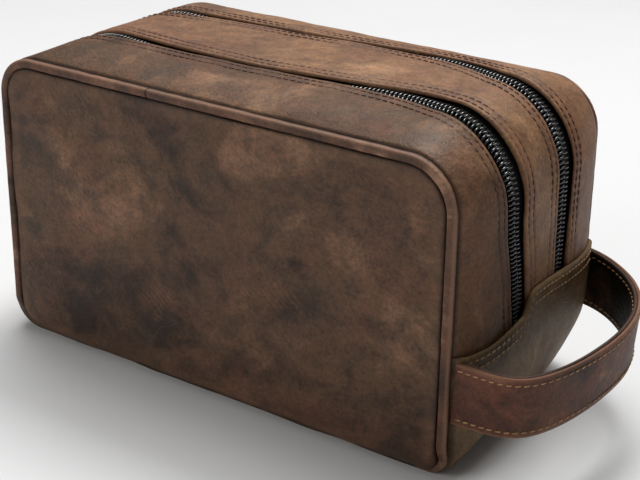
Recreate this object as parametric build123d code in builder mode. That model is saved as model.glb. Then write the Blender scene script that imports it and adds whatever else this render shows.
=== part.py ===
"""A leather shaving kit bag with two zipped compartments and a side handle.

Frame: millimetres, +Z up, origin on the floor at the middle of the base. The front panel faces -Y
and the handle is on the +X end. The bag is symmetric front to back, so each front piece is built
once and its rear twin is its mirror image in the XZ plane.

Each outer wall swings out above a fold line when its zip is open, so the pieces that cross that
line are divided there into an upper and a lower part.
"""

import os

from build123d import *

# ---- The bag's outline ----
HALF_LENGTH = 128.0  # middle of the bag to the outside of the piping, along X
HEIGHT = 147.0  # floor to the outside of the piping
SEAM_DEPTH = 65.0  # middle of the bag to the piping, along Y

# Depth, swell of the outline past the piping, top corner radius, bottom corner radius
STATIONS = [
    (SEAM_DEPTH, 0.0, 24.0, 12.0),
    (52.0, 3.6, 29.0, 22.0),
    (31.5, 6.0, 34.0, 29.0),
    (18.5, 7.0, 36.0, 33.0),
    (0.0, 7.6, 37.0, 34.0),
]

# ---- Sheet materials and fits ----
LEATHER = 1.8
FABRIC = 0.6
SWING_GAP = 0.3  # between pieces that move against each other
FOLD_GAP = 0.1  # between the upper and lower parts at the fold line
BASE_DROP = LEATHER + SWING_GAP  # from the skin's surface out to the base panel's
SOLE_TRIM = 0.2  # the base panel's underside is trimmed flat by this much
SKIN_FOOT = BASE_DROP - SOLE_TRIM  # underside of the skin's surface

# ---- Piping and panels ----
PIPING_RADIUS = 2.8
CORE_RADIUS = 1.6
BORE_RADIUS = 1.7
FLANGE_INSET = (4.0, 5.4)  # the piping's sewn-in tail, in from the outline
FLANGE_SPAN = (57.0, 64.0)  # its depths
PANEL_INSET = 5.7
PANEL_DEPTH = 65.6  # middle of the bag to the front panel's face
BAND_DEPTH = 62.0  # where the bands and the base meet the piping

# ---- Fold and end tabs ----
FOLD_Z = 60.0
TAB_TOP = 60.0
BAND_FOOT = 54.0  # the bands run down behind the end tabs to here

# ---- Zips ----
ZIP_DEPTH = 25.0
ZIP_EDGES = (18.5, 31.5)  # depths of the leather edges beside a zip
TAPE_OUT = (1.0, 2.0)  # tape faces, outside HALF_LENGTH and HEIGHT
TAPE_SPAN = (0.55, 15.0)  # one side's tape, to either side of ZIP_DEPTH
TAPE_CORNER = 30.0  # radius of the tape's outer face over the top corners
TAPE_FOOT = 57.0
COIL_OUT = (2.05, 4.6)
COIL_SPAN = (0.6, 4.4)
COIL_FOOT = 61.0

# ---- Lining, divider and base board ----
LINING_INSET = 7.6
LINING_SPAN = (1.9, 56.4)  # depths of one compartment's lining
LINING_MOUTH = (17.0, 40.0)  # depths of the lining's edges beside the zip
DIVIDER_HALF = 1.2
BOARD_SIZE = (190.0, 110.0)
BOARD_THICKNESS = 2.2

# ---- Sliders and pulls, on the -X end ----
SLIDER_SIZE = (11.6, 16.0)
SLIDER_FOOT = 63.0
FRONT_PLATE_OUT = (4.9, 6.4)
BACK_PLATE_OUT = (-0.9, 0.7)
POST_SIZE = (0.5, 4.0)
PIVOT = (10.1, 9.0)  # out from HALF_LENGTH, and up from the slider's foot
BRIDGE_WIDTH = 3.0
BRIDGE_RADIUS = 2.9
BRIDGE_BASE = 9.0
EYE_RADIUS = 1.5
CROSSBAR_RADIUS = 1.0
PULL_LENGTH = 28.0  # below the pivot
PULL_WIDTH = 8.0
PULL_THICKNESS = 1.5
FORK_WIDTH = 5.8
FORK_GAP = 3.7
FORK_DEPTH = 4.2

# ---- Handle, on the +X end ----
HANDLE_WIDTH = 29.0
HANDLE_Z = 45.0  # middle of the strap
HANDLE_DEPTH = 61.6  # middle of the bag to the middle of the strap's thickness
HANDLE_REACH = 48.0
HANDLE_CROWN = 120.0  # radius of the loop's far stretch
HANDLE_CORNER = 24.0
HANDLE_LAYER = 1.6
STITCH_GAP = 0.05  # half the gap between the two layers
ANCHOR_OUT = 3.9  # the strap leaves the seam here, outside HALF_LENGTH
FLEX_RADIUS = 20.0  # the strap bends outside this distance from the seam

FOLD_PLANE = Plane.XY.offset(FOLD_Z)
END_PLANE = Plane(origin=(-HALF_LENGTH, -ZIP_DEPTH, SLIDER_FOOT), x_dir=(0, -1, 0), z_dir=(-1, 0, 0))
BRIDGE_PLANE = Plane(origin=END_PLANE.origin, x_dir=(-1, 0, 0), z_dir=(0, 1, 0))
HANDLE_PLANE = Plane(origin=(HALF_LENGTH, 0, HANDLE_Z))

pieces = {}


def station(depth):
    """The outline's swell, top radius and bottom radius at a depth from the middle."""
    depth = abs(depth)
    for outer, inner in zip(STATIONS, STATIONS[1:]):
        if depth >= inner[0]:
            share = (depth - inner[0]) / (outer[0] - inner[0])
            return [a + share * (b - a) for a, b in zip(inner[1:], outer[1:])]


def rounded(out, corner, foot_corner, foot, mode=Mode.ADD):
    """A round-cornered face in the current sketch, out past HALF_LENGTH and HEIGHT."""
    half, top = HALF_LENGTH + out, HEIGHT + out
    corners = [(-half, foot), (half, foot), (half, top), (-half, top)]
    with BuildLine() as edge:
        FilletPolyline(*corners, radius=[foot_corner] * 2 + [corner] * 2, close=True)
    make_face(edge.edges(), mode=mode)


def seam_outline(inset, mode=Mode.ADD):
    """The outline at the piping, moved in by inset."""
    _, top_radius, bottom_radius = station(SEAM_DEPTH)
    rounded(-inset, top_radius - inset, bottom_radius - inset, inset, mode)


def skin_block(depths, shift, mode=Mode.ADD):
    """A solid that follows the bag's outline through depths (front first), grown by shift."""
    sections = []
    for depth in depths:
        swell, top_radius, bottom_radius = station(depth)
        with BuildSketch(Plane.XZ.offset(depth)) as section:
            rounded(swell + shift, top_radius + shift, bottom_radius + shift, SKIN_FOOT - shift)
        sections.append(section.sketch)
    loft(sections, ruled=True, mode=mode)


def skin(depths, outside=0.0, thickness=LEATHER):
    """A sheet that follows the outline through depths, open at both ends."""
    skin_block(depths, outside)
    skin_block(depths, outside - thickness, Mode.SUBTRACT)


def between(near, far):
    """The depths of a front piece from far to near, with each station that lies between."""
    return [far] + [row[0] for row in STATIONS if near < row[0] < far] + [near]


def keep_above(height):
    split(bisect_by=Plane.XY.offset(height), keep=Keep.TOP)


def keep_below(height):
    split(bisect_by=Plane.XY.offset(height), keep=Keep.BOTTOM)


def seam_hoop(insets, span):
    """A flat hoop round the outline at the piping, between two insets and two depths."""
    with BuildSketch(Plane.XZ.offset(span[0])) as hoop:
        seam_outline(insets[0])
        seam_outline(insets[1], Mode.SUBTRACT)
    extrude(hoop.sketch, amount=span[1] - span[0])


def zip_hoop(outs, span):
    """A flat hoop of constant section, between two distances out and two depths."""
    with BuildSketch(Plane.XZ.offset(span[0])) as hoop:
        for out, mode in ((outs[1], Mode.ADD), (outs[0], Mode.SUBTRACT)):
            corner = TAPE_CORNER + out - TAPE_OUT[1]
            rounded(out, corner, corner, -out, mode)
    extrude(hoop.sketch, amount=span[1] - span[0])


def along_piping(radius, foot, mode=Mode.ADD):
    """A round rod along the piping's middle, above the fold line or round the foot."""
    half, top = HALF_LENGTH - PIPING_RADIUS, HEIGHT - PIPING_RADIUS
    _, top_radius, bottom_radius = station(SEAM_DEPTH)
    if foot:
        end, turn, bend = FOLD_Z - FOLD_GAP, PIPING_RADIUS, bottom_radius - PIPING_RADIUS
    else:
        end, turn, bend = FOLD_Z, top, top_radius - PIPING_RADIUS
    with BuildLine(Plane.XZ.offset(SEAM_DEPTH)) as path:
        FilletPolyline((-half, end), (-half, turn), (half, turn), (half, end), radius=bend)
    with BuildSketch(Plane(origin=(-half, -SEAM_DEPTH, end), z_dir=(0, 0, 1))) as section:
        Circle(radius)
    sweep(section.sketch, path.line, mode=mode)


def keep(name, part):
    """Files a finished piece under its name."""
    part.label = name
    pieces[name] = part


def keep_with_twin(name, part):
    """Files a front piece and its mirror image at the rear."""
    keep(f"front_{name}", part)
    with BuildPart() as twin:
        mirror(part, about=Plane.XZ)
    keep(f"rear_{name}", twin.part)


# ---- Base panel, with an end tab up each end, and its stiffener ----
base_depths = between(0.0, BAND_DEPTH)
with BuildPart() as base_panel:
    skin(base_depths + [-depth for depth in base_depths[-2::-1]], BASE_DROP)
    keep_below(TAB_TOP)
    keep_above(0)
keep("base_panel", base_panel.part)

with BuildPart() as base_board:
    with BuildSketch(Plane.XY.offset(SWING_GAP + LEATHER)):
        RectangleRounded(*BOARD_SIZE, radius=8)
    extrude(amount=BOARD_THICKNESS)
keep("base_board", base_board.part)

# ---- Piping: a leather cover with a sewn-in tail, round a cord core ----
for place, foot in (("upper", False), ("lower", True)):
    with BuildPart() as piping_cover:
        seam_hoop(FLANGE_INSET, FLANGE_SPAN)
        if foot:
            keep_below(FOLD_Z - FOLD_GAP)
        else:
            keep_above(FOLD_Z)
        along_piping(PIPING_RADIUS, foot)
        along_piping(BORE_RADIUS, foot, Mode.SUBTRACT)
    keep_with_twin(f"piping_{place}", piping_cover.part)

    with BuildPart() as piping_core:
        along_piping(CORE_RADIUS, foot)
    keep_with_twin(f"piping_core_{place}", piping_core.part)

# ---- Front and rear panels, each turned in along the piping ----
with BuildPart() as whole_panel:
    with BuildSketch(Plane.XZ.offset(PANEL_DEPTH - LEATHER)):
        seam_outline(PANEL_INSET)
    extrude(amount=LEATHER)
    seam_hoop((PANEL_INSET, PANEL_INSET + FABRIC + 1.0), (FLANGE_SPAN[0], PANEL_DEPTH - LEATHER))

with BuildPart() as panel_upper:
    add(whole_panel.part)
    keep_above(FOLD_Z)
keep_with_twin("panel_upper", panel_upper.part)

with BuildPart() as panel_lower:
    add(whole_panel.part)
    keep_below(FOLD_Z - FOLD_GAP)
keep_with_twin("panel_lower", panel_lower.part)

# ---- Bands over the top and down both ends ----
with BuildPart() as band:
    skin(between(ZIP_EDGES[1], BAND_DEPTH))
    keep_above(BAND_FOOT)
keep_with_twin("band", band.part)

with BuildPart() as middle_band:
    skin([ZIP_EDGES[0], 0.0, -ZIP_EDGES[0]])
    keep_above(BAND_FOOT)
keep("middle_band", middle_band.part)

# ---- Zips: each side of a zip is a tape with half of the coil ----
for side, sign in (("outer", 1), ("inner", -1)):
    for name, outs, span, zip_foot in (
        ("tape", TAPE_OUT, TAPE_SPAN, TAPE_FOOT),
        ("coil", COIL_OUT, COIL_SPAN, COIL_FOOT),
    ):
        with BuildPart() as zip_side:
            zip_hoop(outs, sorted(ZIP_DEPTH + sign * distance for distance in span))
            keep_above(zip_foot)
        keep_with_twin(f"zip_{name}_{side}", zip_side.part)

# ---- Divider between the compartments ----
with BuildPart() as divider:
    swell, top_radius, bottom_radius = station(0)
    fit = LEATHER + SWING_GAP
    with BuildSketch(Plane.XZ):
        rounded(swell - fit, top_radius - fit, bottom_radius - fit, SKIN_FOOT + fit)
    extrude(amount=DIVIDER_HALF, both=True)
    keep_above(SWING_GAP + LEATHER + BOARD_THICKNESS + FOLD_GAP)
keep("divider", divider.part)

# ---- Lining: a tub in the lower half, and a hood that swings with the outer wall ----
with BuildPart() as whole_lining:
    skin_block(between(*LINING_SPAN), -LINING_INSET)
    skin_block(between(LINING_SPAN[0], LINING_SPAN[1] - FABRIC), -LINING_INSET - FABRIC, Mode.SUBTRACT)

with BuildPart() as lining_tub:
    add(whole_lining.part)
    with BuildSketch(FOLD_PLANE.offset(-FOLD_GAP)):
        with Locations((0, -(SEAM_DEPTH + LINING_MOUTH[0]) / 2)):
            Rectangle(3 * HALF_LENGTH, SEAM_DEPTH - LINING_MOUTH[0])
    extrude(amount=HEIGHT, mode=Mode.SUBTRACT)
keep_with_twin("lining_tub", lining_tub.part)

with BuildPart() as lining_hood:
    add(whole_lining.part)
    keep_above(FOLD_Z)
    split(bisect_by=Plane.XZ.offset(LINING_MOUTH[1]), keep=Keep.TOP)
keep_with_twin("lining_hood", lining_hood.part)

# ---- Zip sliders ----
with BuildPart() as slider:
    for out in (FRONT_PLATE_OUT, BACK_PLATE_OUT):
        with BuildSketch(END_PLANE.offset(out[0])):
            with Locations((0, SLIDER_SIZE[1] / 2)):
                RectangleRounded(*SLIDER_SIZE, radius=3)
        extrude(amount=out[1] - out[0])
    with BuildSketch(END_PLANE.offset(BACK_PLATE_OUT[1])):
        with Locations((0, POST_SIZE[1] / 2 + 1)):
            Rectangle(*POST_SIZE)
    extrude(amount=FRONT_PLATE_OUT[0] - BACK_PLATE_OUT[1])
    with BuildSketch(BRIDGE_PLANE):
        with Locations(PIVOT):
            Circle(BRIDGE_RADIUS)
        with Locations((FRONT_PLATE_OUT[1], PIVOT[1])):
            Rectangle(0.4, BRIDGE_BASE)
        make_hull()
        with Locations(PIVOT):
            Circle(EYE_RADIUS, mode=Mode.SUBTRACT)
    extrude(amount=BRIDGE_WIDTH / 2, both=True)
keep_with_twin("slider", slider.part)

# ---- Zip pulls: a forked plate on a crossbar through the slider's eye ----
with BuildPart() as pull:
    with BuildSketch(END_PLANE.offset(PIVOT[0] - PULL_THICKNESS / 2)):
        with Locations((0, PIVOT[1] - FORK_DEPTH)):
            RectangleRounded(FORK_WIDTH, 2 * FORK_DEPTH + 2.4, radius=1)
        with Locations((0, PIVOT[1] - (FORK_DEPTH + 1.4 + PULL_LENGTH) / 2)):
            RectangleRounded(PULL_WIDTH, PULL_LENGTH - FORK_DEPTH - 1.4, radius=2.4)
        with Locations((0, PIVOT[1])):
            Rectangle(FORK_GAP, 2 * FORK_DEPTH, mode=Mode.SUBTRACT)
        with Locations((0, PIVOT[1] - PULL_LENGTH + 5)):
            Circle(1.6, mode=Mode.SUBTRACT)
    extrude(amount=PULL_THICKNESS)
    with Locations((END_PLANE * Location((0, PIVOT[1], PIVOT[0]))).position):
        Cylinder(CROSSBAR_RADIUS, FORK_WIDTH, rotation=(90, 0, 0))
keep_with_twin("pull", pull.part)


def loop_block(grow, mode=Mode.ADD):
    """The space inside the handle's loop, out to grow past the strap's middle."""
    side, reach = HANDLE_DEPTH + grow, HANDLE_REACH + grow
    with BuildSketch(HANDLE_PLANE.offset(-HANDLE_WIDTH / 2)) as face:
        with Locations((reach / 2, 0)):
            Rectangle(reach + 20, 2 * side)
        with Locations((HANDLE_REACH - HANDLE_CROWN, 0)):
            Circle(HANDLE_CROWN + grow, mode=Mode.INTERSECT)
        fillet(face.vertices().sort_by(Axis.X)[-2:], radius=HANDLE_CORNER + grow)
    extrude(face.sketch, amount=HANDLE_WIDTH, mode=mode)


def flex_cylinder(radius, mode):
    """The round region at the seam inside which the strap is held still."""
    with Locations((HALF_LENGTH, 0, HANDLE_Z)):
        Cylinder(radius, 2 * SEAM_DEPTH, rotation=(90, 0, 0), mode=mode)


# ---- Handle: two layers of strap, and its ends sewn into the seams ----
for side, near, far in (
    ("outer", STITCH_GAP, STITCH_GAP + HANDLE_LAYER),
    ("inner", -STITCH_GAP - HANDLE_LAYER, -STITCH_GAP),
):
    with BuildPart() as strap:
        loop_block(far)
        loop_block(near, Mode.SUBTRACT)
        flex_cylinder(FLEX_RADIUS + SWING_GAP, Mode.SUBTRACT)
    keep(f"handle_strap_{side}", strap.part)

with BuildPart() as handle_end:
    loop_block(STITCH_GAP + HANDLE_LAYER)
    loop_block(-STITCH_GAP - HANDLE_LAYER, Mode.SUBTRACT)
    flex_cylinder(FLEX_RADIUS, Mode.INTERSECT)
    split(bisect_by=Plane.YZ.offset(HALF_LENGTH + ANCHOR_OUT), keep=Keep.TOP)
    split(bisect_by=Plane.XZ, keep=Keep.TOP)
keep_with_twin("handle_end", handle_end.part)

# ---- Files ----
os.makedirs("parts", exist_ok=True)
for name, part in pieces.items():
    export_step(part, f"parts/{name}.step")
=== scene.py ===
"""The looks of a leather shaving kit bag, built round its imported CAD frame.

Lengths in this script are millimetres until a mesh is made, in metres, by mesh_piece(). A place on
the bag's skin is given by a row along the arch, from the foot of the left end over the top to the
foot of the right end, by a depth along Y, and by a lift off the skin.
"""

import math
import bmesh
import bpy
import numpy as np
from mathutils import Matrix, Vector, noise


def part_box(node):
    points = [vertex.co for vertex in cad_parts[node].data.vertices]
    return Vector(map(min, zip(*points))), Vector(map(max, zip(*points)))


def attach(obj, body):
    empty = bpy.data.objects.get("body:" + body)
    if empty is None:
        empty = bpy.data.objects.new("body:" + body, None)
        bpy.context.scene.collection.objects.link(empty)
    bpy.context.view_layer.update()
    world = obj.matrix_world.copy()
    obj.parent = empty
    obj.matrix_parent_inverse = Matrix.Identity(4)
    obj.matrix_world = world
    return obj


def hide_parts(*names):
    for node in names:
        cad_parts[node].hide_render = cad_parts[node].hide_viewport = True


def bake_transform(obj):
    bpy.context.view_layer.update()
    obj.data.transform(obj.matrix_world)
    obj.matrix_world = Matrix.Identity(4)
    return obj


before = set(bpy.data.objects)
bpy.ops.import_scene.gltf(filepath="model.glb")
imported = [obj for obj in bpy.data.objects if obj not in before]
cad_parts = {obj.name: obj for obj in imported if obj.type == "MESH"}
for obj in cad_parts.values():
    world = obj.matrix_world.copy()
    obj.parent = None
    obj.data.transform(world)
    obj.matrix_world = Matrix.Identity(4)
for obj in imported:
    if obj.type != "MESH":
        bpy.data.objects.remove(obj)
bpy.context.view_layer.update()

MM = 0.001
QUARTER = math.pi / 2


def cad(node, corner, axis):
    """One coordinate of a CAD node's box, in millimetres."""
    return getattr(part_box(node)[corner], axis) / MM


# ---- Driving sizes, from the frame ----
HALF = cad("front_piping_upper", 1, "x")
HEIGHT = cad("front_piping_upper", 1, "z")
PIPE = cad("front_piping_upper", 0, "y")
PIPE_RADIUS = 2.8
SEAM = -PIPE - PIPE_RADIUS
TAB_TOP = cad("base_panel", 1, "z")
SWELL = cad("middle_band", 1, "x") - HALF

# ---- Sizes of the leather and its sewing ----
LEATHER = 1.6
FOLD_RADIUS = 1.0  # of a leather edge folded under beside a zip
GROOVE = 1.3  # radius of the leather's turn into a piped seam
STITCH_PITCH = 3.7
STITCH_LENGTH = 2.5
STITCH_RADIUS = 0.4
STITCH_SLANT = 0.12
STITCH_LIFT = 0.12  # of a stitch's middle off the sunk leather
STITCH_ROWS = (2.6, 6.8)  # in from a folded edge

# Radius of each corner at the front piping, in the middle of the bag and at the rear piping
RIGHT_CORNER = (24.0, 39.0, 26.0)
LEFT_CORNER = (20.0, 51.0, 26.0)
RIGHT_FOOT_CORNER = (10.0, 35.0, 54.0)
LEFT_FOOT_CORNER = (14.0, 34.0, 22.0)
CORNER_POWER = 4.0  # how late the radius changes from the middle's to the piping's
FOOT_POWER = 2.0
SWELL_POWER = 4.0


def ease(t):
    """A smooth step from 0 to 1."""
    t = np.clip(t, 0.0, 1.0)
    return t * t * (3 - 2 * t)


def swell(depth):
    """How far the skin stands past the piping's outline at a depth."""
    return SWELL * (1 - np.abs(depth / SEAM) ** SWELL_POWER)


def radius_at(corner, depth, power):
    """A corner's radius at a depth."""
    front, middle, rear = corner
    return middle + (np.where(depth < 0, front, rear) - middle) * np.abs(depth / SEAM) ** power


# ---- The arch: left end up, corner, top, corner, right end down ----
ARCH_STEPS = (60, 36, 140, 36, 60)
LEFT_TURN = 1  # the leg that turns the left corner


def path_rows(steps):
    """Rows along a path of legs: each row's leg and its share of that leg."""
    rows = [(leg, k / count) for leg, count in enumerate(steps) for k in range(count)]
    rows.append((len(steps) - 1, 1.0))
    return np.array(rows)


ARCH = path_rows(ARCH_STEPS)


def lifted(rows, depth, lift, stops):
    """Points at a lift off a path of legs. stops has x, z and the outward direction on each leg."""
    legs = [rows[:, :1] == leg for leg in range(5)]
    x, z, out_x, out_z = (np.select(legs, [value + 0 * depth for value in values]) for values in zip(*stops))
    return np.stack([x + out_x * lift, depth, z + out_z * lift], -1)


def on_arch(depth, lift, foot):
    """Points on the skin over the top, from a foot height: a row for each of ARCH, a column per depth."""
    leg, t = ARCH[:, :1], ARCH[:, 1:]
    depth = depth + 0 * t
    lift = lift + 0 * depth
    half, top = HALF + swell(depth), HEIGHT + swell(depth)
    left = radius_at(LEFT_CORNER, depth, CORNER_POWER)
    right = radius_at(RIGHT_CORNER, depth, CORNER_POWER)
    turn = np.where(leg == LEFT_TURN, math.pi - t * QUARTER, QUARTER - t * QUARTER)
    cos, sin = np.cos(turn), np.sin(turn)
    stops = (
        (-half, foot + t * (top - left - foot), -1.0, 0.0),
        (-half + left + left * cos, top - left + left * sin, cos, sin),
        (-half + left + t * (2 * half - left - right), top, 0.0, 1.0),
        (half - right + right * cos, top - right + right * sin, cos, sin),
        (half, top - right + t * (foot - top + right), 1.0, 0.0),
    )
    return lifted(ARCH, depth, lift, stops)


def along_top():
    """Each row's place as one number: -2 at the left foot, -1..1 over the top, 2 at the right foot."""
    leg, t = ARCH[:, 0], ARCH[:, 1]
    return np.select(
        [leg == n for n in range(5)],
        [-2 + 0.7 * t, -1.3 + 0.3 * t, -1 + 2 * t, 1 + 0.3 * t, 1.3 + 0.7 * t],
    )


# Along the arch: place, the zip's middle and the width of its gap
FRONT_ZIP = (
    (-2.0, 25.0, 13.0),
    (-1.2, 25.0, 12.6),
    (-1.0, 25.5, 8.0),
    (-0.6, 27.0, 4.5),
    (-0.1, 27.5, 3.5),
    (0.3, 24.5, 5.5),
    (0.5, 23.0, 7.0),
    (0.7, 21.5, 10.0),
    (0.85, 21.0, 14.0),
    (1.0, 24.0, 16.0),
    (1.15, 27.0, 16.0),
    (1.4, 26.5, 15.0),
    (1.6, 22.0, 15.0),
    (1.85, 17.6, 13.0),
    (2.0, 17.0, 12.0),
)
REAR_ZIP = (
    (-2.0, 25.0, 13.0),
    (-1.2, 25.0, 12.6),
    (-1.0, 26.0, 8.0),
    (-0.5, 29.0, 4.0),
    (0.0, 32.0, 3.5),
    (0.25, 34.5, 5.0),
    (0.4, 35.5, 6.0),
    (0.57, 36.5, 8.0),
    (0.77, 34.0, 11.0),
    (1.0, 26.5, 13.0),
    (1.15, 21.5, 15.0),
    (1.3, 19.5, 16.0),
    (1.6, 20.0, 14.0),
    (2.0, 19.5, 13.0),
)
SMOOTHING = 31  # rows over which a zip's line is smoothed


def zip_edges(side):
    """Depths of the zip's middle, and half its gap, along the arch."""
    place, middle, gap = np.array(FRONT_ZIP if side < 0 else REAR_ZIP).T
    kernel = np.hanning(SMOOTHING)
    kernel /= kernel.sum()
    margin = SMOOTHING // 2

    def along(values):
        values = np.interp(along_top(), place, values)
        return np.convolve(np.pad(values, margin, mode="edge"), kernel, "valid")

    return side * along(middle), along(gap) / 2


# ---- Meshes ----
def mesh_piece(name, points, faces, material, marks=None):
    """A mesh object from points in millimetres. marks are extra per-point values for its material."""
    mesh = bpy.data.meshes.new(name)
    points = np.asarray(points, float).reshape(-1, 3) * MM
    mesh.from_pydata(points.tolist(), [], [tuple(int(v) for v in face) for face in faces])
    mesh.update()
    rest = mesh.attributes.new("rest", "FLOAT_VECTOR", "POINT")
    rest.data.foreach_set("vector", points.ravel())
    for mark, values in (marks or {}).items():
        layer = mesh.attributes.new(mark, "FLOAT", "POINT")
        layer.data.foreach_set("value", np.asarray(values, np.float32).ravel())
    mesh.polygons.foreach_set("use_smooth", [True] * len(mesh.polygons))
    piece = bpy.data.objects.new(name, mesh)
    bpy.context.scene.collection.objects.link(piece)
    mesh.materials.append(material)
    return piece


def grid_faces(rows, columns, wrap_rows=False, wrap_columns=False):
    """Quads over a grid of points, numbered row by row."""
    faces = []
    for i in range(rows if wrap_rows else rows - 1):
        for j in range(columns if wrap_columns else columns - 1):
            row, next_row = i * columns, (i + 1) % rows * columns
            next_j = (j + 1) % columns
            faces.append((row + j, next_row + j, next_row + next_j, row + next_j))
    return faces


def tube_faces(rows, columns):
    """Faces of a tube of closed sections, with flat ends."""
    last = (rows - 1) * columns
    ends = [tuple(range(columns)), tuple(range(last + columns - 1, last - 1, -1))]
    return grid_faces(rows, columns, wrap_columns=True) + ends


def path_lengths(line):
    """The distance along a line of points to each of them."""
    return np.concatenate([[0], np.cumsum(np.linalg.norm(np.diff(line, axis=0), axis=1))])


def along_line(where, lengths, values):
    """Values given at distances along a line, taken at other distances."""
    return np.stack([np.interp(where, lengths, values[:, k]) for k in range(3)], -1)


def unit(vectors):
    """Vectors brought to length 1."""
    return vectors / np.linalg.norm(vectors, axis=-1, keepdims=True)


def face_outwards(piece):
    """Turns every face to the outside."""
    shell = bmesh.new()
    shell.from_mesh(piece.data)
    bmesh.ops.recalc_face_normals(shell, faces=shell.faces)
    shell.to_mesh(piece.data)
    shell.free()


def relief(piece, size, height, seed):
    """Pushes a mesh in and out along its normals by smooth noise, as soft leather lies."""
    mesh = piece.data
    count = len(mesh.vertices)
    points = np.empty(count * 3)
    normals = np.empty(count * 3)
    mesh.vertices.foreach_get("co", points)
    mesh.vertices.foreach_get("normal", normals)
    points, normals = points.reshape(-1, 3), normals.reshape(-1, 3)
    shift = [noise.noise(Vector(p) / (size * MM) + Vector((seed, 0, 0))) for p in points]
    points = points + normals * (np.array(shift) * height * MM)[:, None]
    mesh.vertices.foreach_set("co", points.ravel())
    mesh.update()


# ---- Materials ----
def nodes_of(name):
    material = bpy.data.materials.new(name)
    material.use_nodes = True
    tree = material.node_tree
    return material, tree, tree.nodes["Principled BSDF"]


def add_node(tree, kind, **values):
    """A shader node, with its settings or its input sockets set by name."""
    node = tree.nodes.new(kind)
    for key, value in values.items():
        if hasattr(node, key):
            setattr(node, key, value)
        else:
            node.inputs[key.replace("_", " ")].default_value = value
    return node


def noise_node(tree, vector, scale, detail=4.0, roughness=0.55, distortion=0.0):
    sizes = {"Scale": scale, "Detail": detail, "Roughness": roughness, "Distortion": distortion}
    node = add_node(tree, "ShaderNodeTexNoise", **sizes)
    tree.links.new(vector, node.inputs["Vector"])
    return node.outputs["Fac"]


def ramp_node(tree, value, *stops):
    """A colour ramp over (position, colour) stops."""
    node = tree.nodes.new("ShaderNodeValToRGB")
    band = node.color_ramp
    while len(band.elements) < len(stops):
        band.elements.new(0.5)
    for element, (position, colour) in zip(band.elements, stops):
        element.position = position
        element.color = (*colour, 1.0)
    tree.links.new(value, node.inputs["Fac"])
    return node.outputs["Color"]


def mix_node(tree, factor, first, second, blend="MIX"):
    """Mixes two colours. factor, first and second are sockets or plain values."""
    node = tree.nodes.new("ShaderNodeMix")
    node.data_type = "RGBA"
    node.blend_type = blend
    for name, kind, value in (("Factor", "VALUE", factor), ("A", "RGBA", first), ("B", "RGBA", second)):
        socket = next(s for s in node.inputs if s.name == name and s.type == kind)
        if isinstance(value, bpy.types.NodeSocket):
            tree.links.new(value, socket)
        else:
            socket.default_value = value if kind == "VALUE" else (*value, 1.0)
    return next(s for s in node.outputs if s.type == "RGBA")


def math_node(tree, operation, first, second=0.5):
    node = tree.nodes.new("ShaderNodeMath")
    node.operation = operation
    for socket, value in zip(node.inputs, (first, second)):
        if isinstance(value, bpy.types.NodeSocket):
            tree.links.new(value, socket)
        else:
            socket.default_value = value
    return node.outputs[0]


def attribute_node(tree, name, output):
    node = tree.nodes.new("ShaderNodeAttribute")
    node.attribute_name = name
    return node.outputs[output]


def bump_node(tree, height, distance, strength=1.0, below=None):
    node = add_node(tree, "ShaderNodeBump", Strength=strength, Distance=distance)
    tree.links.new(height, node.inputs["Height"])
    if below is not None:
        tree.links.new(below, node.inputs["Normal"])
    return node.outputs["Normal"]


BLACK = (0.0, 0.0, 0.0)
WHITE = (1.0, 1.0, 1.0)


def grey(value):
    return (value, value, value)


def srgb(code):
    """A linear colour from its hexadecimal code."""
    parts = [int(code[n : n + 2], 16) / 255 for n in (0, 2, 4)]
    return tuple(v / 12.92 if v <= 0.04045 else ((v + 0.055) / 1.055) ** 2.4 for v in parts)


def creases(tree, place):
    """Patches of fine parallel creases: their height, which is 0 outside the patches, and the patches."""
    turn = add_node(tree, "ShaderNodeMapping", Rotation=(0.5, 0.4, 0.9))
    tree.links.new(place, turn.inputs["Vector"])
    sizes = {"Scale": 150.0, "Distortion": 7.0, "Detail": 4.0, "Detail_Scale": 0.9, "Detail_Roughness": 0.6}
    waves = add_node(tree, "ShaderNodeTexWave", **sizes)
    tree.links.new(turn.outputs["Vector"], waves.inputs["Vector"])
    patch = noise_node(tree, turn.outputs["Vector"], 21.0, 3.0, 0.6, 0.6)
    patch = ramp_node(tree, patch, (0.58, BLACK), (0.68, WHITE))
    lines = ramp_node(tree, waves.outputs["Fac"], (0.45, BLACK), (0.85, WHITE))
    return math_node(tree, "MULTIPLY", patch, lines), patch


def hairlines(tree, place):
    """Thin wandering lines, as old scratches leave: 1 on a line and 0 off it."""
    field = noise_node(tree, place, 26.0, 2.0, 0.45, 0.4)
    away = math_node(tree, "ABSOLUTE", math_node(tree, "SUBTRACT", field, 0.52))
    line = ramp_node(tree, away, (0.0, WHITE), (0.006, BLACK))
    gate = ramp_node(tree, noise_node(tree, place, 31.0, 2.0), (0.5, BLACK), (0.6, WHITE))
    return math_node(tree, "MULTIPLY", line, gate)


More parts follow.
